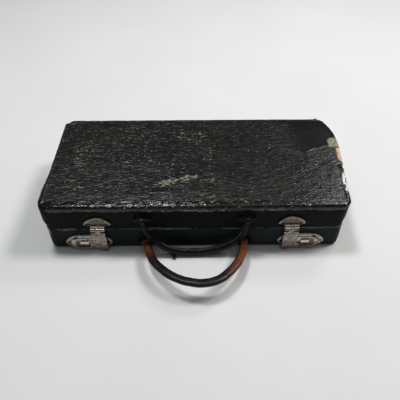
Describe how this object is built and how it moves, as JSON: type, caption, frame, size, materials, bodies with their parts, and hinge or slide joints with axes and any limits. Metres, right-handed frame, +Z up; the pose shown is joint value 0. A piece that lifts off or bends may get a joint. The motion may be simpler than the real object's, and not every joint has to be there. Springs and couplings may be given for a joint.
{
  "type": "clarinet case",
  "caption": "Old covered-wood clarinet case with hinged lid, spring-bolt latches, leather handles and a plush fitted interior.",
  "frame": {"origin": "centre of the body's underside, on the table", "axes": "+X along the case, front with latches and handles faces -Y, +Z up"},
  "size_m": [0.381, 0.2665, 0.076],
  "materials": {
    "covering_leatherette": "coarse-grained, worn",
    "wood_board": "raw",
    "bottom_paper": "matt",
    "plush": "short pile",
    "nickel": "nickel-plated, tarnished",
    "spring_steel": "satin",
    "black_leather": "worn black",
    "brown_leather": "worn brown"
  },
  "bodies": {
    "base": {"barrel_divider": "plush", "base_back_board": "wood_board", "base_bottom_board": "wood_board", "base_bottom_sheet": "bottom_paper", "base_floor_lining": "plush", "base_front_board": "wood_board", "base_handle_staples": "nickel", "base_left_board": "wood_board", "base_right_board": "wood_board", "base_side_covering": "covering_leatherette", "base_wall_lining": "plush", "bell_divider": "plush", "bell_saddle": "plush", "front_divider": "plush", "hinge_lower_nails": "nickel", "left_hinge_lower_leaf": "nickel", "left_hinge_pin": "nickel", "left_lock_back_plate": "nickel", "left_lock_pan": "nickel", "left_slide_spring": "spring_steel", "lock_nails": "nickel", "lower_joint_saddles": "plush", "mouthpiece_divider": "plush", "rear_divider": "plush", "reed_divider": "plush", "right_hinge_lower_leaf": "nickel", "right_hinge_pin": "nickel", "right_lock_back_plate": "nickel", "right_lock_pan": "nickel", "right_slide_spring": "spring_steel", "upper_joint_saddles": "plush"},
    "lid": {"lid_back_board": "wood_board", "lid_front_board": "wood_board", "lid_handle_staples": "nickel", "lid_left_board": "wood_board", "lid_lining_pad": "plush", "lid_right_board": "wood_board", "lid_side_covering": "covering_leatherette", "lid_top_board": "wood_board", "lid_top_sheet": "covering_leatherette", "lid_wall_lining": "plush", "left_hinge_upper_leaf": "nickel", "right_hinge_upper_leaf": "nickel", "hinge_upper_nails": "nickel", "left_latch_cap": "nickel", "right_latch_cap": "nickel", "latch_cap_nails": "nickel", "left_hasp_pin": "nickel", "right_hasp_pin": "nickel"},
    "left_hasp_body": {"left_hasp": "nickel", "left_hasp_catch": "nickel"},
    "right_hasp_body": {"right_hasp": "nickel", "right_hasp_catch": "nickel"},
    "left_slide_body": {"left_lock_slide": "nickel"},
    "right_slide_body": {"right_lock_slide": "nickel"},
    "lid_handle_body": {"lid_handle": "black_leather"},
    "base_handle_body": {"base_handle": "brown_leather"}
  },
  "joints": [
    {"name": "lid_hinge", "type": "hinge", "parent": "base", "child": "lid", "pos_m": [0, 0.0926, 0.036], "axis": [-1, 0, 0], "range_deg": [0, 110]},
    {"name": "left_hasp_hinge", "type": "hinge", "parent": "lid", "child": "left_hasp_body", "pos_m": [-0.1225, -0.0941, 0.0392], "axis": [-1, 0, 0], "range_deg": [0, 110]},
    {"name": "right_hasp_hinge", "type": "hinge", "parent": "lid", "child": "right_hasp_body", "pos_m": [0.1225, -0.0941, 0.0392], "axis": [-1, 0, 0], "range_deg": [0, 110]},
    {"name": "left_slide", "type": "slide", "parent": "base", "child": "left_slide_body", "axis": [-1, 0, 0], "range_m": [0, 0.0032], "stiffness_N_per_m": 250, "springref_m": -0.002, "deforming": ["left_slide_spring"]},
    {"name": "right_slide", "type": "slide", "parent": "base", "child": "right_slide_body", "axis": [1, 0, 0], "range_m": [0, 0.0032], "stiffness_N_per_m": 250, "springref_m": -0.002, "deforming": ["right_slide_spring"]},
    {"name": "lid_handle_hinge", "type": "hinge", "parent": "lid", "child": "lid_handle_body", "pos_m": [0, -0.0952, 0.057], "axis": [-1, 0, 0], "range_deg": [-5, 155]},
    {"name": "base_handle_hinge", "type": "hinge", "parent": "base", "child": "base_handle_body", "pos_m": [0, -0.0952, 0.017], "axis": [-1, 0, 0], "range_deg": [-17.5, 24.5]}
  ]
}
